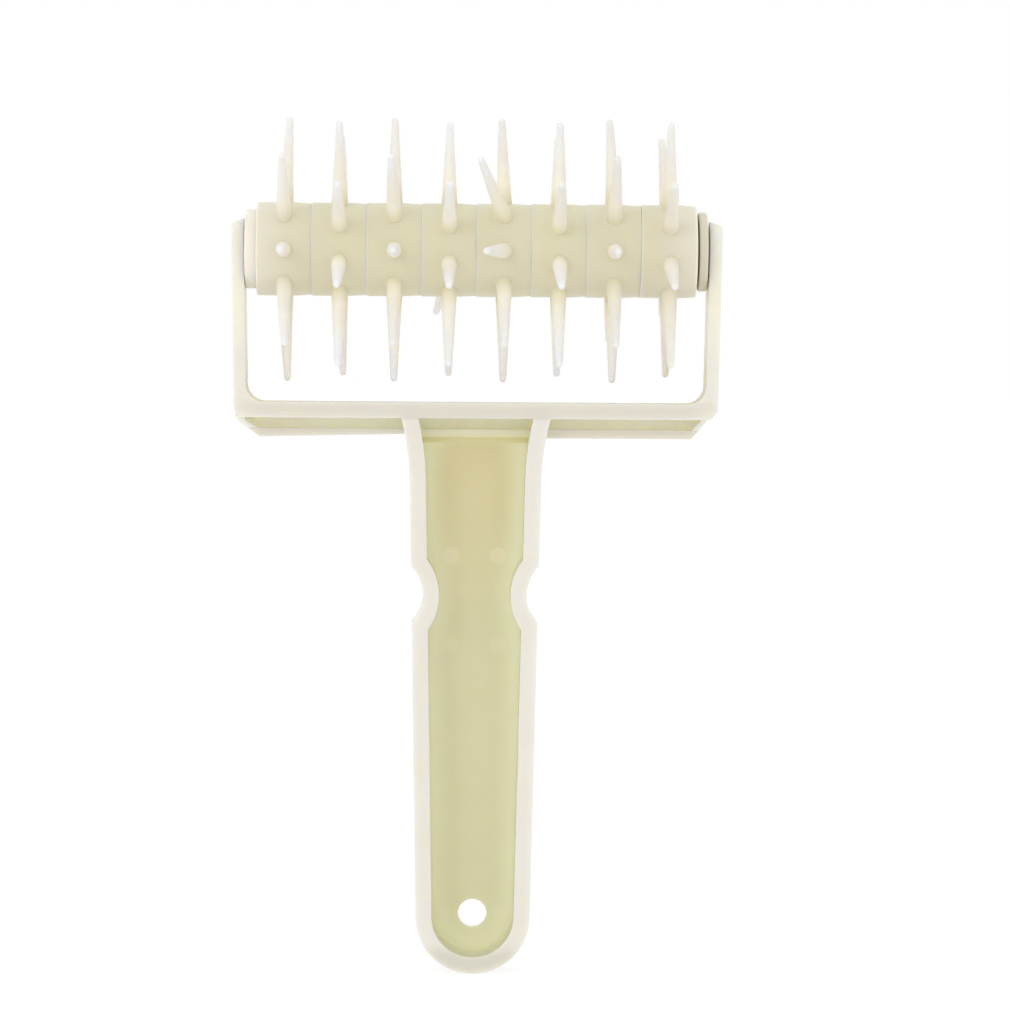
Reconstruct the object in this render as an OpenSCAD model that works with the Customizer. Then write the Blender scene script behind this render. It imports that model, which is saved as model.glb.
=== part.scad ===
// Dough docker: a moulded fork with a hollow-fronted handle, and a roller of spiked
// rings keyed on a hexagonal axle. The roller lies along X, the handle hangs down
// along Z, and the hollow side of the handle faces -Y.

/* [Rings] */
// How many spiked rings the axle carries
ring_count = 8; // [3:1:12]
// Width of one ring along the axle
ring_w = 13.3; // [10:0.1:18]
// Diameter of the ring's barrel
barrel_d = 22.8; // [19:0.1:28]
// How much narrower the barrel is at its right end, for the mould's draft
barrel_draft = 0.5; // [0:0.05:0.8]
// Rounding of the barrel's edges
barrel_edge = 0.25; // [0.2:0.05:1]
// Play between two neighbouring rings
ring_gap = 0.1; // [0.05:0.01:0.3]
// Extra play that the loose last ring stands off by
loose_gap = 0.2; // [0:0.05:0.5]

/* [Spikes] */
// Spikes round one ring
spike_count = 8; // [4:1:12]
// Radius from the axle to a spike's tip
spike_reach = 32.3; // [26:0.1:34]
// Diameter of a spike where it leaves the barrel
spike_base_d = 3.9; // [2.5:0.1:5]
// Diameter of a spike's rounded tip
spike_tip_d = 1.7; // [1:0.1:2.4]
// Angle of the first spike, up from straight forward
spike_start = -1; // [-22:1:22]

/* [Axle and end discs] */
// Width of the hexagonal axle across its flats
axle_flats = 10.8; // [9:0.1:13]
// Clearance all round the hexagonal axle in rings and discs
key_clearance = 0.1; // [0.05:0.01:0.3]
// Diameter of the round journal at each end of the axle
journal_d = 7; // [4:0.1:8]
// Radial clearance of a journal in the arm's hole
journal_clearance = 0.08; // [0.02:0.01:0.1]
// How far a journal's end lies inside the arm's outer face
journal_inset = 0.4; // [0.1:0.1:1]
// Diameter of the end discs
disc_d = 19.4; // [16:0.1:22]
// Thickness of an end disc
disc_t = 2.1; // [1.2:0.1:4]
// Rounding of the end disc's rim
disc_edge = 0.5; // [0.2:0.05:0.6]
// Gap between the last ring and its end disc
disc_gap = 0.35; // [0.1:0.05:1]
// Gap between an end disc's rim and the arm beside it
arm_gap = 0.6; // [0.1:0.05:1]

/* [Fork] */
// Height of the roller's axis over the handle's end
axis_z = 177.7; // [150:0.1:220]
// Depth of the whole moulding, front to back
frame_depth = 13; // [11:0.5:20]
// Thickness of a fork arm
arm_t = 3; // [2.4:0.1:5]
// Angle by which the arms spread towards the roller
arm_spread = 1; // [0:0.25:2]
// How far the middle of an arm's rounded tip lies over the axle
tip_rise = 0.9; // [0:0.1:3]
// How much lower an arm's tip is at its outer face
tip_slope = 1.2; // [0:0.1:2]
// Space between the spikes' tips and the crossbar
tip_room = 5; // [4.6:0.1:12]
// Thickness of the crossbar's strap
strap_t = 3.8; // [2.5:0.1:6]
// Rounding inside the fork's corners
inner_corner = 4.4; // [2:0.1:8]
// Rounding outside the fork's corners
outer_corner = 2.6; // [2:0.1:6]
// How far the crossbar's back plate drops below the strap
plate_drop = 5; // [3:0.1:8]
// Rounding of the back plate's lower corners
plate_corner = 6; // [4:0.1:8]
// Width of the lip along the back plate's lower edge
lip_w = 2.2; // [1:0.1:2.8]
// Height of the lip over the back plate
lip_h = 3; // [1:0.1:5]
// How much higher the lip's lower edge lies on the left at the handle than at the arm
lip_rise = 0.9; // [0.2:0.1:1.2]

/* [Handle] */
// Thickness of the handle's outer wall
wall_t = 4; // [2.4:0.1:5]
// Thickness of the web that closes the handle's back
web_t = 2.4; // [1.6:0.1:4]
// Width of the handle's rounded end
end_w = 28.2; // [24:0.1:34]
// Width of the handle just below its flare
neck_w = 32.2; // [28:0.1:38]
// Height at which the flare begins, down from the crossbar's strap
flare_drop = 16.6; // [12:0.1:35]
// Radius of the flare
flare_r = 66; // [50:1:200]
// Width between the two finger notches
waist_w = 25.5; // [21:0.1:28]
// Radius of a finger notch
notch_r = 10.5; // [7:0.5:14]
// Height of the finger notches
notch_z = 93.2; // [60:0.1:100]
// Diameter of the hanging hole
hole_d = 7; // [5:0.1:10]
// Height of the hanging hole
hole_z = 13.5; // [12:0.5:24]

/* [Hidden] */
// Rings are numbered from the left. A straight spike has no entry here. Each entry is
// a ring's number, a spike's number and the angle by which it leans to the left, or
// to the right where the angle is negative.
LEANING_SPIKES = [
    [1, 3, -3], [1, 7, -2], [1, 8, -2], [2, 8, -2], [3, 2, 2], [4, 7, 9],
    [5, 1, 13], [5, 2, 17], [5, 3, 2], [7, 3, 3], [8, 5, 3],
];
// Every second ring sits one flat of the axle further round
FLAT_TURN = -60;
// How far the axle's hexagon ends short of the end discs' outer faces
HEX_SHOULDER = 0.3;
SEGMENTS = 96;
ARC_STEPS = 6;
// How far a cut runs past the face that it opens
CUT = 1;
// How deep a spike's root is buried in the barrel
SPIKE_SEAT = 1.5;
// How far the barrel's middle band reaches past a spike on each side
BAND_MARGIN = 1;

ring_pitch = ring_w + ring_gap;
spike_pitch = 360 / spike_count;
stack_w = ring_count * ring_w + (ring_count - 1) * ring_gap + loose_gap;
disc_x = stack_w / 2 + disc_gap + disc_t / 2;
disc_face_x = disc_x + disc_t / 2;
spread = tan(arm_spread);
arm_in_x = disc_face_x + arm_gap + spread * disc_d / 2;
arm_out_x = arm_in_x + arm_t;
strap_top = axis_z - spike_reach - tip_room;
strap_bottom = strap_top - strap_t;
plate_bottom = strap_bottom - plate_drop;
plate_top = strap_bottom + strap_t / 2;
back_y = frame_depth / 2;
web_y = back_y - web_t;
lip_y = web_y - lip_h;
end_r = end_w / 2;
flare_z = strap_bottom - flare_drop;
tip_centre_z = axis_z + tip_rise;
arm_tip_z = tip_centre_z + back_y;
spike_cone_end = spike_reach - spike_tip_d / 2;
hex_reach = disc_face_x - HEX_SHOULDER;

// The moulded parts are all of one cream plastic
CREAM = [0.91, 0.89, 0.82];
CREAM_DEEP = [0.87, 0.85, 0.74];

// Points of a rounded corner, turning from one angle to another
function corner_points(x, y, r, from, to) = [
    for (i = [0 : ARC_STEPS])
        let (a = from + (to - from) * i / ARC_STEPS)
            [x + r * cos(a), y + r * sin(a)]
];

// Place of a ring's middle along the axle
function ring_x(number) =
    -stack_w / 2 + ring_w / 2 + (number - 1) * ring_pitch + (number == ring_count ? loose_gap : 0);

// The fork's arms lean out, so their distance from the middle grows with height
function arm_x(x_at_axis, z) = x_at_axis + spread * (z - axis_z);

// Radius of a spike at a distance from the axle
function spike_r(reach) =
    spike_tip_d / 2
    + (spike_base_d - spike_tip_d) / 2 * (spike_cone_end - reach) / (spike_cone_end - barrel_d / 2);

// Angle by which a spike leans to the left
function spike_lean(ring, spike) =
    let (found = [for (entry = LEANING_SPIKES) if (entry[0] == ring && entry[1] == spike) entry[2]])
        len(found) > 0 ? found[0] : 0;

// Extrudes a drawing of the front view, with Z up the page, from one depth to another
module slab(from_y, to_y) {
    translate([0, to_y, 0])
        rotate([90, 0, 0])
            linear_extrude(to_y - from_y)
                children();
}

// Extrudes a drawing of the side view, with Y along the page, equally to both sides
module side_slab(width) {
    translate([-width / 2, 0, 0])
        rotate([90, 0, 90])
            linear_extrude(width)
                children();
}

// Lays a shape that was turned about Z along the roller's axis
module on_axle(x) {
    translate([x, 0, axis_z])
        rotate([0, 90, 0])
            children();
}

module hex_rod(flats, length) {
    cylinder(h = length, d = flats / cos(30), center = true, $fn = 6);
}

// A barrel or disc with rounded edges. Past its middle band it narrows by the draft
// towards one end.
module turned_barrel(d, w, edge, draft, band) {
    rotate_extrude($fn = SEGMENTS)
        polygon(concat(
            [[0, -w / 2]],
            corner_points(d / 2 - edge, edge - w / 2, edge, -90, 0),
            [[d / 2, band / 2]],
            corner_points((d - draft) / 2 - edge, w / 2 - edge, edge, 0, 90),
            [[0, w / 2]]
        ));
}

// One tapered spike with a rounded tip, standing along Z on the barrel at the origin
module spike() {
    length = spike_cone_end - barrel_d / 2;
    translate([0, 0, -SPIKE_SEAT])
        cylinder(
            h = length + SPIKE_SEAT,
            r1 = spike_r(barrel_d / 2 - SPIKE_SEAT),
            r2 = spike_r(spike_cone_end),
            $fn = SEGMENTS / 2
        );
    translate([0, 0, length])
        sphere(r = spike_tip_d / 2, $fn = SEGMENTS / 2);
}

// A ring with its axis along Z, whose first spike points along X
module spiked_barrel(number) {
    rotate([0, 0, spike_pitch / 2])
        turned_barrel(barrel_d, ring_w, barrel_edge, barrel_draft, spike_base_d + 2 * BAND_MARGIN);
    for (spike = [1 : spike_count])
        rotate([0, 0, (1 - spike) * spike_pitch])
            translate([barrel_d / 2, 0, 0])
                rotate([0, 90 + spike_lean(number, spike), 0])
                    spike();
}

// One keyed ring. On the axle an angle up from straight forward counts from -90.
module ring(number) {
    turn = number % 2 == 0 ? FLAT_TURN : 0;
    color(CREAM_DEEP)
        on_axle(ring_x(number))
            difference() {
                rotate([0, 0, -90 - spike_start - turn])
                    spiked_barrel(number);
                hex_rod(axle_flats + 2 * key_clearance, ring_w + 2 * CUT);
            }
}

module end_disc(side) {
    color(CREAM)
        on_axle(side * disc_x)
            difference() {
                turned_barrel(disc_d, disc_t, disc_edge, 0, 0);
                hex_rod(axle_flats + 2 * key_clearance, disc_t + 2 * CUT);
            }
}

module axle() {
    color(CREAM)
        on_axle(0) {
            hex_rod(axle_flats, 2 * hex_reach);
            cylinder(h = 2 * (arm_out_x - journal_inset), d = journal_d, center = true, $fn = SEGMENTS);
        }
}

// A trough with leaning sides and rounded corners at its foot. Its top slopes down over
// an arm's thickness to the sides.
module trough(x_at_axis, foot_z, corner_r, top_z, slope) {
    corner_z = foot_z + corner_r;
    side_x = arm_x(x_at_axis, corner_z);
    top_x = arm_x(x_at_axis, top_z);
    polygon([
        [-side_x, corner_z], [side_x, corner_z],
        [top_x, top_z - slope], [top_x - arm_t, top_z],
        [arm_t - top_x, top_z], [-top_x, top_z - slope],
    ]);
    translate([corner_r - side_x, foot_z])
        square([2 * (side_x - corner_r), corner_r]);
    for (side = [-1, 1])
        translate([side * (side_x - corner_r), corner_z])
            circle(corner_r, $fn = SEGMENTS);
}

// Arms and strap in one bow, with the arms' tips rounded in the side view
module fork() {
    intersection() {
        slab(-back_y, back_y)
            difference() {
                trough(arm_out_x, strap_bottom, outer_corner, arm_tip_z, tip_slope);
                trough(arm_in_x, strap_top, inner_corner, arm_tip_z + CUT, 0);
            }
        side_slab(2 * arm_out_x + 2 * CUT) {
            translate([-back_y, strap_bottom - CUT])
                square([2 * back_y, tip_centre_z - strap_bottom + CUT]);
            translate([0, tip_centre_z])
                circle(back_y, $fn = SEGMENTS);
        }
    }
}

// Front view of the crossbar's back plate, drawn in from its edge by an inset
module plate_blank(inset) {
    half_w = arm_out_x + CUT;
    intersection() {
        trough(arm_out_x - inset, plate_bottom + inset, plate_corner - inset, arm_tip_z, 0);
        translate([-half_w, 0])
            square([2 * half_w, plate_top]);
    }
}

// The back plate, whose lower edge rises from the left arm to the handle's right wall
module cross_plate() {
    from_x = plate_corner - arm_out_x;
    to_x = (neck_w - wall_t) / 2;
    risen_z = plate_bottom + lip_rise;
    difference() {
        plate_blank(0);
        polygon([
            [from_x, plate_bottom - CUT], [from_x, plate_bottom], [-neck_w / 2, risen_z],
            [to_x, risen_z], [to_x, plate_bottom - CUT],
        ]);
    }
}

// Front view of the handle, drawn in from its edge by an inset
module handle_outline(inset, top_z) {
    neck_x = neck_w / 2 - inset;
    flare_x = neck_w / 2 + flare_r - sqrt(pow(flare_r + inset, 2) - pow(top_z - flare_z, 2));
    difference() {
        union() {
            translate([0, end_r])
                circle(end_r - inset, $fn = SEGMENTS);
            polygon([
                [inset - end_r, end_r], [end_r - inset, end_r],
                [neck_x, flare_z], [flare_x, flare_z], [flare_x, top_z],
                [-flare_x, top_z], [-flare_x, flare_z], [-neck_x, flare_z],
            ]);
        }
        for (side = [-1, 1]) {
            translate([side * (neck_w / 2 + flare_r), flare_z])
                circle(flare_r + inset, $fn = SEGMENTS);
            translate([side * (waist_w / 2 + notch_r), notch_z])
                circle(notch_r + inset, $fn = SEGMENTS);
        }
    }
}

// The whole moulding: fork, crossbar with its lip, and handle with wall, web and hole
module frame() {
    color(CREAM)
        difference() {
            union() {
                fork();
                slab(-back_y, back_y)
                    difference() {
                        handle_outline(0, strap_bottom + strap_t / 2);
                        handle_outline(wall_t, strap_bottom);
                    }
                slab(web_y, back_y) {
                    handle_outline(0, strap_bottom + strap_t / 2);
                    cross_plate();
                }
                slab(lip_y, back_y)
                    difference() {
                        cross_plate();
                        plate_blank(lip_w);
                    }
            }
            on_axle(0)
                cylinder(
                    h = 2 * (arm_out_x + CUT),
                    d = journal_d + 2 * journal_clearance,
                    center = true,
                    $fn = SEGMENTS
                );
            translate([0, web_y - CUT, hole_z])
                rotate([-90, 0, 0])
                    cylinder(h = web_t + 2 * CUT, d = hole_d, $fn = SEGMENTS);
        }
}

frame();
axle();
end_disc(-1);  // end_disc_left
end_disc(1);  // end_disc_right
for (number = [1 : ring_count])
    ring(number);
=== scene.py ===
import math

import bmesh
import bpy
from mathutils import Matrix, Vector


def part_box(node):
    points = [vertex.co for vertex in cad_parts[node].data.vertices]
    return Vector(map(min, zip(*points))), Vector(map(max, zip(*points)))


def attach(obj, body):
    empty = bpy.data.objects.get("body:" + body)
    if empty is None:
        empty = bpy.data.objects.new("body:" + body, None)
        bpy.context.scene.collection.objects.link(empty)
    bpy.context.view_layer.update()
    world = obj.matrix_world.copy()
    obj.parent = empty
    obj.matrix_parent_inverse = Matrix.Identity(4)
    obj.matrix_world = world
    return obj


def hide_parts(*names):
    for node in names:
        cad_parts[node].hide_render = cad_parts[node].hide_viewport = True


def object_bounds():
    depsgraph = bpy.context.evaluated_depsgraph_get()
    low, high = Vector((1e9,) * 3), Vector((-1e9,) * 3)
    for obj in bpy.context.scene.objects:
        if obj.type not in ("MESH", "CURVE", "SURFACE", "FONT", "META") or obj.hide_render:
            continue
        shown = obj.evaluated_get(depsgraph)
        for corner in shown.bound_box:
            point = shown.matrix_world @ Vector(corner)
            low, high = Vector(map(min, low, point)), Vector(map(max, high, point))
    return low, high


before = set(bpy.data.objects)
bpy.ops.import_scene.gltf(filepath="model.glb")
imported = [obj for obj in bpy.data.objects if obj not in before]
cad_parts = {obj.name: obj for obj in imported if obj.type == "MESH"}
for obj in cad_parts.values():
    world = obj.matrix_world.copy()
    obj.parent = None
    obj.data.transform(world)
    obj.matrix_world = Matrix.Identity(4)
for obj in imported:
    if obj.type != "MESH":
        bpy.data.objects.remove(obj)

# Straight after loading, the box is that of the solids alone
cad_low, cad_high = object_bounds()

MM = 0.001
RING_NODES = sorted(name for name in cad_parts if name.startswith("ring_"))
LAST_RING = RING_NODES[-1]
NEXT_TO_LAST_RING = RING_NODES[-2]

# Main places, read from the solids
axle_low, axle_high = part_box("axle")
AXIS_Z = (axle_low.z + axle_high.z) / 2
BACK_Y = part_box("frame")[1].y
SPIKE_REACH = cad_high.z - AXIS_Z

# Sizes of the solids that the finishes and the small forms below need
BARREL_R = 11.4 * MM
RING_PITCH = 13.4 * MM
WEB_T = 2.4 * MM
STRAP_TOP = 140.4 * MM
STRAP_FOOT = 136.6 * MM
LIP_FOOT = 131.6 * MM
LIP_W = 2.2 * MM
LIP_Y = 1.1 * MM
# How far out the handle's walls reach at the lip's height, inside and outside
NECK_IN = 13.2 * MM
NECK_OUT = 17.5 * MM

# Each lower corner of the fork is planed off from one place to another, (from middle, height)
PLANED_CORNERS = {
    -1: (Vector((58.6, 135.5)) * MM, Vector((53.1, 131.65)) * MM),
    1: (Vector((59.2, 138.6)) * MM, Vector((53.1, 131.6)) * MM),
}
CORNER_WALL = 1.4 * MM

# The line between two pressed rings lies a little to the left of their pitch line
GROOVE_SHIFT = 0.17 * MM
# The groove's painted light is full within its core and fades out to its edge
GROOVE_CORE = 0.1 * MM
GROOVE_EDGE = 0.4 * MM

# The height of the line of painted shade under the lip, where the web starts
STEP_H = 1.1 * MM
# The marks of the mould's ejector pins, in pairs: distance from the middle, height and strength
EJECTOR_MARKS = [
    (5.8 * MM, 102.4 * MM, 0.35),
    (5.8 * MM, 80.3 * MM, 0.2),
    (7.6 * MM, 13.5 * MM, 0.3),
]


# Small helpers for colours, meshes and nodes

def srgb(red, green, blue):
    """A colour as a paint chart gives it, from 0 to 255, made linear."""
    def linear(value):
        value /= 255
        return value / 12.92 if value <= 0.04045 else ((value + 0.055) / 1.055) ** 2.4
    return (linear(red), linear(green), linear(blue), 1.0)


def new_object(name, mesh):
    """An object in the scene with a given mesh."""
    piece = bpy.data.objects.new(name, mesh)
    bpy.context.scene.collection.objects.link(piece)
    return piece


def mesh_from(bm, name):
    """Writes an edit mesh out as a named one and frees it."""
    mesh = bpy.data.meshes.new(name)
    bm.to_mesh(mesh)
    bm.free()
    return mesh


def paint(piece, material):
    """Gives all of a piece one material."""
    piece.data.materials.clear()
    piece.data.materials.append(material)


def place(tree, kind, **values):
    """Adds a node to a tree and sets its plain properties."""
    node = tree.nodes.new(kind)
    for key, value in values.items():
        setattr(node, key, value)
    return node


def feed(tree, socket, value):
    """Links a socket to another node's output, or sets it where a plain value is given."""
    if isinstance(value, bpy.types.NodeSocket):
        tree.links.new(value, socket)
    else:
        socket.default_value = value


def blend(tree, factor, first, second):
    """The colour between two others."""
    mix = place(tree, "ShaderNodeMix", data_type="RGBA")
    feed(tree, mix.inputs["Factor"], factor)
    feed(tree, mix.inputs["A"], first)
    feed(tree, mix.inputs["B"], second)
    return mix.outputs["Result"]


def reckon(tree, operation, first, second=0.0):
    """One step of arithmetic."""
    step = place(tree, "ShaderNodeMath", operation=operation)
    feed(tree, step.inputs[0], first)
    feed(tree, step.inputs[1], second)
    return step.outputs["Value"]


def distance(tree, across, along):
    """The length of the long side over two short ones."""
    square = reckon(tree, "ADD", reckon(tree, "MULTIPLY", across, across),
                    reckon(tree, "MULTIPLY", along, along))
    return reckon(tree, "SQRT", square)


def ramp(tree, value, from_value, to_value, low=0.0, high=1.0):
    """Rises or falls smoothly from low to high while a value runs between two others."""
    rise = place(tree, "ShaderNodeMapRange", interpolation_type="SMOOTHSTEP")
    feed(tree, rise.inputs["Value"], value)
    feed(tree, rise.inputs["From Min"], from_value)
    feed(tree, rise.inputs["From Max"], to_value)
    feed(tree, rise.inputs["To Min"], low)
    feed(tree, rise.inputs["To Max"], high)
    return rise.outputs["Result"]


def rest_place(tree):
    """X, Y and Z on the object as it stands at rest."""
    where = place(tree, "ShaderNodeTexCoord")
    parts = place(tree, "ShaderNodeSeparateXYZ")
    tree.links.new(where.outputs["Object"], parts.inputs["Vector"])
    return parts.outputs["X"], parts.outputs["Y"], parts.outputs["Z"]


def new_group(name, inputs, outputs):
    """A node group with named sockets, given as name: (kind, default) and name: kind."""
    group = bpy.data.node_groups.new(name, "ShaderNodeTree")
    for label, (kind, default) in inputs.items():
        socket = group.interface.new_socket(label, in_out="INPUT", socket_type=kind)
        socket.default_value = default
    for label, kind in outputs.items():
        group.interface.new_socket(label, in_out="OUTPUT", socket_type=kind)
    given = place(group, "NodeGroupInput").outputs
    result = place(group, "NodeGroupOutput").inputs
    return group, given, result


def use_group(tree, group, **values):
    """Places a node group in a material and feeds its inputs, with _ for a space."""
    node = place(tree, "ShaderNodeGroup", node_tree=group)
    for key, value in values.items():
        feed(tree, node.inputs[key.replace("_", " ")], value)
    return node.outputs


# Effects that more than one plastic uses

COLOR = "NodeSocketColor"
FLOAT = "NodeSocketFloat"
WHITE = (1, 1, 1, 1)


def occlusion_paint_group():
    """Painted shade: cream plastic is made deeper and yellower where its own walls stand round it, as
    occlusion measures it; a paler deep tone paints light there instead.
    """
    group, given, result = new_group(
        "occlusion_paint",
        {"Open": (COLOR, WHITE), "Deep": (COLOR, WHITE), "Reach": (FLOAT, 0.012),
         "Shut": (FLOAT, 0.7), "Free": (FLOAT, 0.97)},
        {"Color": COLOR},
    )
    shade = place(group, "ShaderNodeAmbientOcclusion", samples=16, only_local=True)
    feed(group, shade.inputs["Distance"], given["Reach"])
    openness = ramp(group, shade.outputs["AO"], given["Shut"], given["Free"])
    feed(group, result["Color"], blend(group, openness, given["Deep"], given["Open"]))
    return group


def level_band_group():
    """Is 1 between two heights of the standing object and fades out past them."""
    group, given, result = new_group(
        "level_band",
        {"Low": (FLOAT, 0.0), "High": (FLOAT, 0.1), "Fade": (FLOAT, 0.001)},
        {"Mask": FLOAT},
    )
    height = rest_place(group)[2]
    below = reckon(group, "SUBTRACT", given["Low"], given["Fade"])
    above = reckon(group, "ADD", given["High"], given["Fade"])
    over_low = ramp(group, height, below, given["Low"])
    under_high = ramp(group, height, given["High"], above, low=1.0, high=0.0)
    feed(group, result["Mask"], reckon(group, "MULTIPLY", over_low, under_high))
    return group


def moulded_skin_group():
    """The faint orange peel and flow streaks of a moulded skin."""
    group, given, result = new_group(
        "moulded_skin",
        {"Peel Scale": (FLOAT, 900.0), "Flow Scale": (FLOAT, 60.0), "Roughness": (FLOAT, 0.4),
         "Roughness Swing": (FLOAT, 0.1)},
        {"Height": FLOAT, "Roughness": FLOAT, "Cloud": FLOAT},
    )
    where = place(group, "ShaderNodeTexCoord").outputs["Object"]
    peel = place(group, "ShaderNodeTexNoise")
    peel.inputs["Detail"].default_value = 3.0
    feed(group, peel.inputs["Vector"], where)
    feed(group, peel.inputs["Scale"], given["Peel Scale"])
    flow = place(group, "ShaderNodeTexNoise")
    flow.inputs["Detail"].default_value = 4.0
    flow.inputs["Distortion"].default_value = 0.6
    feed(group, flow.inputs["Vector"], where)
    feed(group, flow.inputs["Scale"], given["Flow Scale"])
    centred = reckon(group, "SUBTRACT", flow.outputs["Fac"], 0.5)
    swing = reckon(group, "MULTIPLY", centred, given["Roughness Swing"])
    feed(group, result["Roughness"], reckon(group, "ADD", swing, given["Roughness"]))
    feed(group, result["Height"], peel.outputs["Fac"])
    feed(group, result["Cloud"], flow.outputs["Fac"])
    return group


def melt_cloud_group():
    """Shifts a colour a little towards another where the melt clouded."""
    group, given, result = new_group(
        "melt_cloud",
        {"Color": (COLOR, WHITE), "Cloud Color": (COLOR, WHITE), "Cloud": (FLOAT, 0.0),
         "Amount": (FLOAT, 0.3)},
        {"Color": COLOR},
    )
    clear_below, clouded_above = 0.4, 0.65
    share = ramp(group, given["Cloud"], clear_below, clouded_above, high=given["Amount"])
    feed(group, result["Color"], blend(group, share, given["Color"], given["Cloud Color"]))
    return group


def ejector_mark_group():
    """A round pin mark on the hollow's floor, and its like on the other side of the middle."""
    group, given, result = new_group(
        "ejector_mark",
        {"Off Middle": (FLOAT, 0.0), "Height": (FLOAT, 0.0), "Radius": (FLOAT, 0.0022)},
        {"Mask": FLOAT},
    )
    x, y, z = rest_place(group)
    off = reckon(group, "SUBTRACT", reckon(group, "ABSOLUTE", x), given["Off Middle"])
    up = reckon(group, "SUBTRACT", z, given["Height"])
    core = reckon(group, "MULTIPLY", given["Radius"], 0.85)
    disc = ramp(group, distance(group, off, up), core, given["Radius"], low=1.0, high=0.0)
    in_front = reckon(group, "LESS_THAN", y, BACK_Y - WEB_T / 2)
    feed(group, result["Mask"], reckon(group, "MULTIPLY", disc, in_front))
    return group


OCCLUSION_PAINT = occlusion_paint_group()
LEVEL_BAND = level_band_group()
MOULDED_SKIN = moulded_skin_group()
MELT_CLOUD = melt_cloud_group()
EJECTOR_MARK = ejector_mark_group()


def level_band(tree, low, high, fade):
    return use_group(tree, LEVEL_BAND, Low=low, High=high, Fade=fade)["Mask"]


def occlusion_paint(tree, open_color, deep_color, reach, shut, free):
    return use_group(tree, OCCLUSION_PAINT, Open=open_color, Deep=deep_color,
                     Reach=reach, Shut=shut, Free=free)["Color"]


def melt_cloud(tree, skin, color, cloud_color, amount):
    return use_group(tree, MELT_CLOUD, Color=color, Cloud_Color=cloud_color,
                     Cloud=skin["Cloud"], Amount=amount)["Color"]


# Materials

# Where tones change: heights on the frame, and distances from the middle on the strap and the rings
ARM_END_LIGHT_HEIGHTS = (165 * MM, 200 * MM)
HEEL_SHADE_HEIGHTS = (-1 * MM, 4 * MM)
NECK_FADE_HEIGHTS = (75 * MM, 128 * MM)
STRAP_SHADE_FADE = (50 * MM, 58 * MM)
STACK_END_LIGHT_FADE = (41 * MM, 53 * MM)

# Tones of the frame's outer faces, with painted light at the arms' ends and painted shade on the strap
# and the heel
FACE_TONE = srgb(232, 229, 223)
ARM_END_PAINTED_LIGHT = srgb(243, 238, 223)
STRAP_PAINTED_SHADE = srgb(222, 219, 211)
HEEL_PAINTED_SHADE = srgb(216, 214, 204)
# Tones in its hollow: painted light makes the web paler beside a wall that lets light through and in
# the recess, and painted shade marks the line under the lip
WEB_TONE = srgb(217, 216, 187)
WEB_AT_NECK_TONE = srgb(217, 211, 173)
WEB_BY_WALL_PAINTED_LIGHT = srgb(233, 233, 213)
RECESS_PAINTED_LIGHT = srgb(247, 245, 232)
STEP_PAINTED_SHADE = srgb(223, 219, 180)
EJECTOR_TONE = srgb(236, 231, 214)
# Painted shade tones of its lip, and the tone of its clouded melt
LIP_PAINTED_SHADE = srgb(222, 217, 208)
LIP_IN_NECK_PAINTED_SHADE = srgb(236, 231, 201)
FRAME_CLOUD_TONE = srgb(228, 219, 203)

# Tones of the rings, out from the barrel along the spikes; painted light makes the thin spikes paler
BARREL_TONE = srgb(227, 222, 192)
SPIKE_FOOT_TONE = srgb(239, 234, 212)
SPIKE_LOW_TONE = srgb(248, 244, 232)
SPIKE_MIDDLE_TONE = srgb(243, 241, 237)
SPIKE_TIP_TONE = srgb(236, 237, 243)
# Tones that are mixed into those: another shot's tone, painted light at the stack's ends, in the
# grooves and in the spikes' corners, and the clouded melt
OTHER_SHOT_TONE = srgb(226, 219, 202)
STACK_END_PAINTED_LIGHT = srgb(238, 234, 224)
GROOVE_PAINTED_LIGHT = srgb(254, 248, 226)
SPIKE_CORNER_PAINTED_LIGHT = srgb(239, 235, 211)
RING_CLOUD_TONE = srgb(226, 217, 200)

# Plain and clouded tones of the small parts; painted light makes the left disc's paler and painted
# shade the right disc's deeper
LEFT_DISC_LIT_TONES = (srgb(246, 240, 229), srgb(238, 231, 216))
RIGHT_DISC_SHADED_TONES = (srgb(222, 217, 200), srgb(214, 206, 190))
AXLE_TONES = (srgb(230, 226, 210), srgb(214, 206, 184))


def cream_plastic(name, gloss, see_through_mm):
    """Starts a cream plastic: its shader and its moulded skin, with no colour yet."""
    material = bpy.data.materials.new(name)
    material.use_nodes = True
    tree = material.node_tree
    shader = tree.nodes["Principled BSDF"].inputs
    shader["IOR"].default_value = 1.49
    shader["Subsurface Weight"].default_value = 1.0
    shader["Subsurface Radius"].default_value = (1.0, 0.9, 0.55)
    shader["Subsurface Scale"].default_value = see_through_mm * MM
    skin = use_group(tree, MOULDED_SKIN, Roughness=gloss, Roughness_Swing=0.14)
    bump = place(tree, "ShaderNodeBump")
    bump.inputs["Strength"].default_value = 0.12
    bump.inputs["Distance"].default_value = 0.05 * MM
    feed(tree, bump.inputs["Height"], skin["Height"])
    feed(tree, shader["Roughness"], skin["Roughness"])
    feed(tree, shader["Normal"], bump.outputs["Normal"])
    return material, tree, shader, skin


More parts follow.
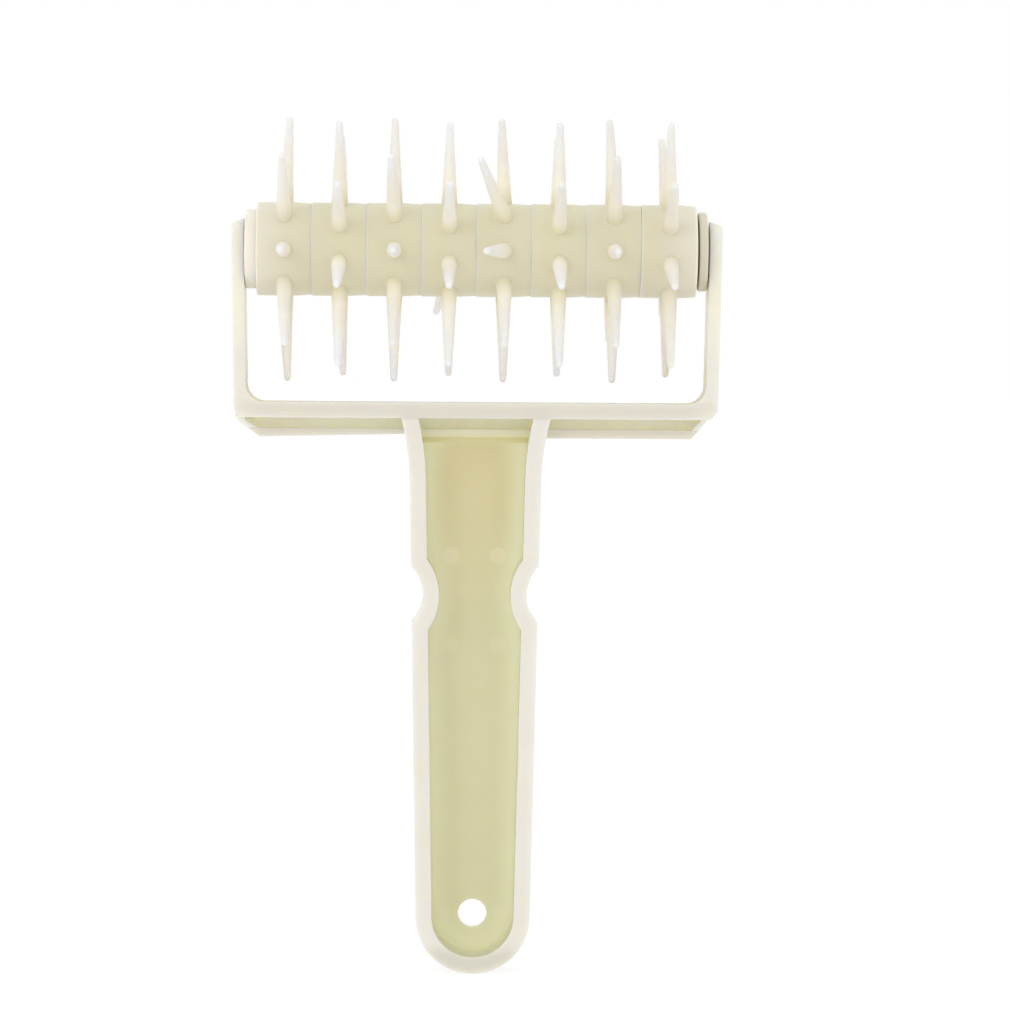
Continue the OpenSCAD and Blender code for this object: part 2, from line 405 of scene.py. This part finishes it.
def outer_faces(tree, off_middle, front):
    """The frame's outer tone, with painted light at the arms' ends and painted shade on the strap and
    the heel.
    """
    # Painted light at the arms' ends, against the shade that the discs and rings cast there
    arm_end_light = level_band(tree, *ARM_END_LIGHT_HEIGHTS, fade=15 * MM)
    # Painted shade on the strap's front face, where the roller above keeps off light from overhead,
    # weaker towards its ends
    strap = level_band(tree, STRAP_FOOT, STRAP_TOP, fade=0.5 * MM)
    strap_shade_middle = ramp(tree, off_middle, *STRAP_SHADE_FADE, low=1.0, high=0.3)
    strap_shade = reckon(tree, "MULTIPLY", reckon(tree, "MULTIPLY", strap, strap_shade_middle), front)
    # Painted shade on the heel, the handle's bottom end
    heel = level_band(tree, *HEEL_SHADE_HEIGHTS, fade=4 * MM)
    faces = blend(tree, arm_end_light, FACE_TONE, ARM_END_PAINTED_LIGHT)
    faces = blend(tree, strap_shade, faces, STRAP_PAINTED_SHADE)
    return blend(tree, heel, faces, HEEL_PAINTED_SHADE)


def hollow_floor(tree, height):
    """The web, yellower towards the neck, with painted light beside its walls and in the recess under
    the strap, a line of painted shade under the lip and the marks of the ejector pins."""
    towards_neck = ramp(tree, height, *NECK_FADE_HEIGHTS)
    web = blend(tree, towards_neck, WEB_TONE, WEB_AT_NECK_TONE)
    # Painted light beside the hollow's walls, against their occlusion
    web = occlusion_paint(tree, web, WEB_BY_WALL_PAINTED_LIGHT, reach=9 * MM, shut=0.5, free=0.9)
    # Painted light in the recess under the strap, against its deep occlusion
    recess = level_band(tree, LIP_FOOT, STRAP_FOOT, fade=0.2 * MM)
    # Painted shade along the line under the lip
    step = level_band(tree, LIP_FOOT - STEP_H, LIP_FOOT, fade=0.3 * MM)
    floor = blend(tree, recess, web, RECESS_PAINTED_LIGHT)
    floor = blend(tree, step, floor, STEP_PAINTED_SHADE)
    for off_middle, mark_height, strength in EJECTOR_MARKS:
        mark = use_group(tree, EJECTOR_MARK, Off_Middle=off_middle, Height=mark_height)["Mask"]
        floor = blend(tree, reckon(tree, "MULTIPLY", mark, strength), floor, EJECTOR_TONE)
    return floor


def paint_lip_shade(tree, color, off_middle, front):
    """A colour with the lip's painted shade over it, beside the neck and inside it."""
    soft_edge = 0.3 * MM
    lip = level_band(tree, LIP_FOOT, LIP_FOOT + LIP_W, fade=0.1 * MM)
    lip = reckon(tree, "MULTIPLY", lip, front)
    beside_neck = ramp(tree, off_middle, NECK_OUT, NECK_OUT + soft_edge)
    inside_neck = ramp(tree, off_middle, NECK_IN, NECK_IN + soft_edge, low=1.0, high=0.0)
    color = blend(tree, reckon(tree, "MULTIPLY", lip, beside_neck), color, LIP_PAINTED_SHADE)
    return blend(tree, reckon(tree, "MULTIPLY", lip, inside_neck), color, LIP_IN_NECK_PAINTED_SHADE)


def frame_plastic():
    """Pale on the outer faces, and painted shade makes it deeper in the hollow and along the strap,
    the lip and the heel.
    """
    material, tree, shader, skin = cream_plastic("frame_cream", gloss=0.42, see_through_mm=4)
    x, y, z = rest_place(tree)
    off_middle = reckon(tree, "ABSOLUTE", x)
    front = ramp(tree, y, LIP_Y + 1 * MM, BACK_Y - 1 * MM, low=1.0, high=0.0)
    faces = outer_faces(tree, off_middle, front)
    floor = hollow_floor(tree, z)
    # Painted shade: the hollow's tones take over where the frame's own walls shut out the light
    color = occlusion_paint(tree, faces, floor, reach=30 * MM, shut=0.8, free=0.97)
    color = paint_lip_shade(tree, color, off_middle, front)
    feed(tree, shader["Base Color"], melt_cloud(tree, skin, color, FRAME_CLOUD_TONE, amount=0.2))
    return material


def tone_by_reach(tree, y, z):
    """Deep cream on the barrel, with painted light making the spikes palest low down and cooler
    towards their tips.
    """
    up = reckon(tree, "SUBTRACT", z, AXIS_Z)
    along = place(tree, "ShaderNodeMapRange")
    along.inputs["From Min"].default_value = BARREL_R
    along.inputs["From Max"].default_value = SPIKE_REACH
    feed(tree, along.inputs["Value"], distance(tree, y, up))
    tones = place(tree, "ShaderNodeValToRGB")
    stops = tones.color_ramp.elements
    stops[0].position = 0.01
    stops[0].color = BARREL_TONE
    stops[1].position = 0.9
    stops[1].color = SPIKE_TIP_TONE
    stops.new(0.1).color = SPIKE_FOOT_TONE
    stops.new(0.25).color = SPIKE_LOW_TONE
    stops.new(0.5).color = SPIKE_MIDDLE_TONE
    feed(tree, tones.inputs["Fac"], along.outputs["Result"])
    return tones.outputs["Color"]


def shot_share(tree, x):
    """A number for each ring, because each came from its own shot and differs a little."""
    most = 0.25
    shot = place(tree, "ShaderNodeTexWhiteNoise", noise_dimensions="1D")
    feed(tree, shot.inputs["W"], reckon(tree, "FLOOR", reckon(tree, "DIVIDE", x, RING_PITCH)))
    return reckon(tree, "MULTIPLY", shot.outputs["Value"], most)


def groove_light_share(tree, x):
    """How much painted light fills the groove where two rings meet, for the light that comes through
    both.
    """
    pitches = reckon(tree, "DIVIDE", reckon(tree, "ADD", x, GROOVE_SHIFT), RING_PITCH)
    off_whole = reckon(tree, "SUBTRACT", pitches, reckon(tree, "ROUND", pitches))
    return ramp(tree, reckon(tree, "ABSOLUTE", off_whole),
                GROOVE_CORE / RING_PITCH, GROOVE_EDGE / RING_PITCH, low=0.6, high=0.0)


def ring_plastic():
    """The barrel is the deeper cream; painted light pales the thin spikes, for the light that they let
    through.
    """
    material, tree, shader, skin = cream_plastic("ring_cream", gloss=0.45, see_through_mm=1.5)
    x, y, z = rest_place(tree)
    color = blend(tree, shot_share(tree, x), tone_by_reach(tree, y, z), OTHER_SHOT_TONE)
    # Painted light at the stack's two open ends, where light gets in
    end_light_share = ramp(tree, reckon(tree, "ABSOLUTE", x), *STACK_END_LIGHT_FADE, high=0.6)
    color = blend(tree, end_light_share, color, STACK_END_PAINTED_LIGHT)
    color = blend(tree, groove_light_share(tree, x), color, GROOVE_PAINTED_LIGHT)
    # Painted light where a spike grows out of the barrel, for the light that comes through it into the
    # corner
    color = occlusion_paint(tree, color, SPIKE_CORNER_PAINTED_LIGHT, reach=2 * MM, shut=0.4, free=0.9)
    feed(tree, shader["Base Color"], melt_cloud(tree, skin, color, RING_CLOUD_TONE, amount=0.25))
    return material


def plain_cream(name, color, cloud_color):
    """A small part's plastic, clouded a little."""
    material, tree, shader, skin = cream_plastic(name, gloss=0.4, see_through_mm=1.2)
    feed(tree, shader["Base Color"], melt_cloud(tree, skin, color, cloud_color, amount=0.4))
    return material


# Pieces

def welded_copy(node, name):
    """A copy of a solid's mesh as one closed skin, without the solid's own normals."""
    bm = bmesh.new()
    bm.from_mesh(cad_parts[node].data)
    bmesh.ops.remove_doubles(bm, verts=bm.verts, dist=0.001 * MM)
    piece = new_object(name, mesh_from(bm, name))
    for layer in ("custom_normal", "sharp_edge", "sharp_face"):
        if layer in piece.data.attributes:
            piece.data.attributes.remove(piece.data.attributes[layer])
    return piece


def block(name, outline, side, from_y, to_y):
    """A closed block with a given front outline, on the left (-1) or the right (1)."""
    bm = bmesh.new()
    near = [bm.verts.new((side * corner.x, from_y, corner.y)) for corner in outline]
    far = [bm.verts.new((side * corner.x, to_y, corner.y)) for corner in outline]
    bm.faces.new(near)
    bm.faces.new(far)
    for index in range(len(outline)):
        bm.faces.new((near[index - 1], near[index], far[index], far[index - 1]))
    bmesh.ops.recalc_face_normals(bm, faces=bm.faces)
    return new_object(name, mesh_from(bm, name))


def shape_with(piece, tool, operation):
    """Adds a block to a piece or cuts it off, and clears the block away."""
    shape = piece.modifiers.new("shape", "BOOLEAN")
    shape.operation = operation
    shape.solver = "EXACT"
    shape.object = tool
    shaped = piece.evaluated_get(bpy.context.evaluated_depsgraph_get())
    mesh = bpy.data.meshes.new_from_object(shaped)
    piece.modifiers.clear()
    piece.data = mesh
    bpy.data.objects.remove(tool)


def plane_corner(piece, side, top, foot):
    """Planes a round corner of the fork flat and keeps a wall behind the new face."""
    along = (top - foot).normalized()
    inward = Vector((-along.y, along.x))
    strip = [top, foot, foot + inward * CORNER_WALL, top + inward * CORNER_WALL]
    shape_with(piece, block("corner_wall", strip, side, LIP_Y, BACK_Y), "UNION")
    # The waste is a block on the new face, well past the corner on all its other sides
    past_face = along * 3 * MM
    past_corner = 12 * MM
    beyond = foot - inward * past_corner
    waste = [top + past_face, foot - past_face, beyond, beyond + along * past_corner]
    shape_with(piece, block("corner_waste", waste, side, -2 * BACK_Y, 2 * BACK_Y), "DIFFERENCE")


def round_edges(piece, round_mm, sharp_deg):
    """Rounds a piece's hard edges, as a mould leaves them."""
    bm = bmesh.new()
    bm.from_mesh(piece.data)
    bmesh.ops.remove_doubles(bm, verts=bm.verts, dist=0.01 * MM)
    bmesh.ops.dissolve_limit(bm, angle_limit=math.radians(0.3), verts=bm.verts, edges=bm.edges)
    for face in bm.faces:
        face.smooth = True
    for edge in bm.edges:
        edge.smooth = True
    bm.to_mesh(piece.data)
    bm.free()
    bevel = piece.modifiers.new("round_edges", "BEVEL")
    bevel.limit_method = "ANGLE"
    bevel.angle_limit = math.radians(sharp_deg)
    bevel.width = round_mm * MM
    bevel.segments = 3
    bevel.harden_normals = True


def make_frame():
    """The moulding, with its lower corners planed off and its edges rounded."""
    piece = welded_copy("frame", "fork_and_handle")
    for side, (top, foot) in PLANED_CORNERS.items():
        plane_corner(piece, side, top, foot)
    round_edges(piece, round_mm=0.45, sharp_deg=35)
    paint(piece, frame_plastic())
    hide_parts("frame")
    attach(piece, "frame")


def off_axle(point):
    """Distance from the roller's axis."""
    return math.hypot(point.y, point.z - AXIS_Z)


def longer_copy(node, name, edge_mm, left_mm=0.0, right_mm=0.0, foot_mm=0.0):
    """A copy of a turned part, whose hub's ends move out along the axle, its left one further
    out at the foot where a foot is given."""
    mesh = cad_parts[node].data.copy()
    hub_reach = BARREL_R + 0.1 * MM
    hub = [vertex for vertex in mesh.vertices if off_axle(vertex.co) < hub_reach]
    left_x = min(vertex.co.x for vertex in hub)
    right_x = max(vertex.co.x for vertex in hub)
    for vertex in hub:
        if vertex.co.x - left_x < edge_mm * MM:
            lowness = (AXIS_Z + BARREL_R - vertex.co.z) / (2 * BARREL_R)
            vertex.co.x -= (left_mm + foot_mm * lowness) * MM
        elif right_x - vertex.co.x < edge_mm * MM:
            vertex.co.x += right_mm * MM
    return new_object(name, mesh)


def make_rings():
    """The rings are pressed together, and only the last one's joint gapes a little at its top."""
    cream = ring_plastic()
    pressed = {"left_mm": 0.15, "right_mm": 0.6}
    uneven = {NEXT_TO_LAST_RING: {"left_mm": 0.15}, LAST_RING: {"left_mm": 0.2, "foot_mm": 0.35}}
    for name in RING_NODES:
        ring = longer_copy(name, "pressed_" + name, edge_mm=0.3, **uneven.get(name, pressed))
        paint(ring, cream)
        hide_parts(name)
        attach(ring, "roller")


def make_end_discs():
    """The left disc fills its gaps to the arm and the rings, and the right one sits nearer the arm;
    the left disc's cream carries painted light and the right one's painted shade.
    """
    left_lit_cream = plain_cream("left_disc_lit_cream", *LEFT_DISC_LIT_TONES)
    right_shaded_cream = plain_cream("right_disc_shaded_cream", *RIGHT_DISC_SHADED_TONES)
    seats = [
        ("end_disc_left", left_lit_cream, {"left_mm": 0.55, "right_mm": 0.5}),
        ("end_disc_right", right_shaded_cream, {"left_mm": -0.2, "right_mm": 0.2}),
    ]
    for name, cream, growth in seats:
        disc = longer_copy(name, "seated_" + name, edge_mm=0.6, **growth)
        paint(disc, cream)
        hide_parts(name)
        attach(disc, "roller")


def dress_axle():
    """The axle keeps its shape and only gets its finish."""
    paint(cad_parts["axle"], plain_cream("axle_cream", *AXLE_TONES))


# Stage, light and camera

# The floor's paint takes the shadow, and its glow lifts it to white where the camera looks
FLOOR_PAINT = (0.35, 0.35, 0.35, 1)
FLOOR_GLOW = 0.72
# Strength of the light that floor and sky give the object, the sky's from below and from above
FLOOR_LIGHT = 0.9
SKY_LIGHT_LOW = 0.88
SKY_LIGHT_HIGH = 0.9
# What the lamps look at
OBJECT_MIDDLE = (0, 0, 0.13)


def seen_directly(tree):
    """Is 1 for what the camera sees, also in a gloss or through glass."""
    path = place(tree, "ShaderNodeLightPath").outputs
    seen = reckon(tree, "MAXIMUM", path["Is Camera Ray"], path["Is Glossy Ray"])
    return reckon(tree, "MAXIMUM", seen, path["Is Transmission Ray"])


def make_floor():
    """A white floor that keeps the object's shadow, and looks white to the camera."""
    bm = bmesh.new()
    bmesh.ops.create_grid(bm, x_segments=1, y_segments=1, size=6.0)
    floor = new_object("floor", mesh_from(bm, "floor"))
    material = bpy.data.materials.new("floor_white")
    material.use_nodes = True
    tree = material.node_tree
    tree.nodes.clear()
    out = place(tree, "ShaderNodeOutputMaterial")
    painted = place(tree, "ShaderNodeBsdfDiffuse")
    painted.inputs["Color"].default_value = FLOOR_PAINT
    glow = place(tree, "ShaderNodeEmission")
    glow.inputs["Strength"].default_value = FLOOR_GLOW
    light = place(tree, "ShaderNodeEmission")
    light.inputs["Strength"].default_value = FLOOR_LIGHT
    shown = place(tree, "ShaderNodeAddShader")
    choose = place(tree, "ShaderNodeMixShader")
    feed(tree, shown.inputs[0], painted.outputs["BSDF"])
    feed(tree, shown.inputs[1], glow.outputs["Emission"])
    feed(tree, choose.inputs["Fac"], seen_directly(tree))
    feed(tree, choose.inputs[1], light.outputs["Emission"])
    feed(tree, choose.inputs[2], shown.outputs["Shader"])
    feed(tree, out.inputs["Surface"], choose.outputs["Shader"])
    paint(floor, material)


def make_world():
    """Soft light from all round, a little stronger from above; white to the camera."""
    world = bpy.data.worlds.new("studio")
    bpy.context.scene.world = world
    world.use_nodes = True
    tree = world.node_tree
    tree.nodes.clear()
    out = place(tree, "ShaderNodeOutputWorld")
    where = place(tree, "ShaderNodeTexCoord")
    part = place(tree, "ShaderNodeSeparateXYZ")
    feed(tree, part.inputs["Vector"], where.outputs["Generated"])
    light = place(tree, "ShaderNodeBackground")
    light.inputs["Color"].default_value = WHITE
    sky_light = ramp(tree, part.outputs["Z"], -1.0, 1.0, low=SKY_LIGHT_LOW, high=SKY_LIGHT_HIGH)
    feed(tree, light.inputs["Strength"], sky_light)
    white = place(tree, "ShaderNodeBackground")
    white.inputs["Color"].default_value = WHITE
    choose = place(tree, "ShaderNodeMixShader")
    feed(tree, choose.inputs["Fac"], seen_directly(tree))
    feed(tree, choose.inputs[1], light.outputs["Background"])
    feed(tree, choose.inputs[2], white.outputs["Background"])
    feed(tree, out.inputs["Surface"], choose.outputs["Shader"])


def add_lamp(name, place_m, aim_m, size_m, power_w):
    """A square soft lamp that looks at a point."""
    lamp = bpy.data.lights.new(name, "AREA")
    lamp.energy = power_w
    lamp.size = size_m
    holder = bpy.data.objects.new(name, lamp)
    holder.location = place_m
    aim = Vector(aim_m) - Vector(place_m)
    holder.rotation_euler = aim.to_track_quat("-Z", "Y").to_euler()
    bpy.context.scene.collection.objects.link(holder)


def make_lamps():
    """A key lamp at the upper left and a wide, weak one in front."""
    add_lamp("key_lamp", (-0.55, -0.85, 0.6), OBJECT_MIDDLE, size_m=0.5, power_w=1.3)
    add_lamp("front_lamp", (0.2, -1.3, 0.15), OBJECT_MIDDLE, size_m=0.9, power_w=0.5)


def make_camera():
    """Looks almost square on, from the height of the fork's window."""
    eye = Vector((-8 * MM, -1, 165 * MM))
    target = Vector((7.35 * MM, 0, 115.2 * MM))
    roll_deg = 0.42
    camera = bpy.data.cameras.new("camera")
    camera.sensor_width = 36
    camera.lens = 145
    camera.clip_start = 0.01
    holder = bpy.data.objects.new("camera", camera)
    look = (target - eye).to_track_quat("-Z", "Y").to_matrix().to_4x4()
    roll = Matrix.Rotation(math.radians(roll_deg), 4, "Z")
    holder.matrix_world = Matrix.Translation(eye) @ look @ roll
    bpy.context.scene.collection.objects.link(holder)
    bpy.context.scene.camera = holder


make_camera()
make_world()
make_lamps()
make_floor()
make_frame()
make_rings()
make_end_discs()
dress_axle()

bpy.context.scene.view_settings.view_transform = "Standard"
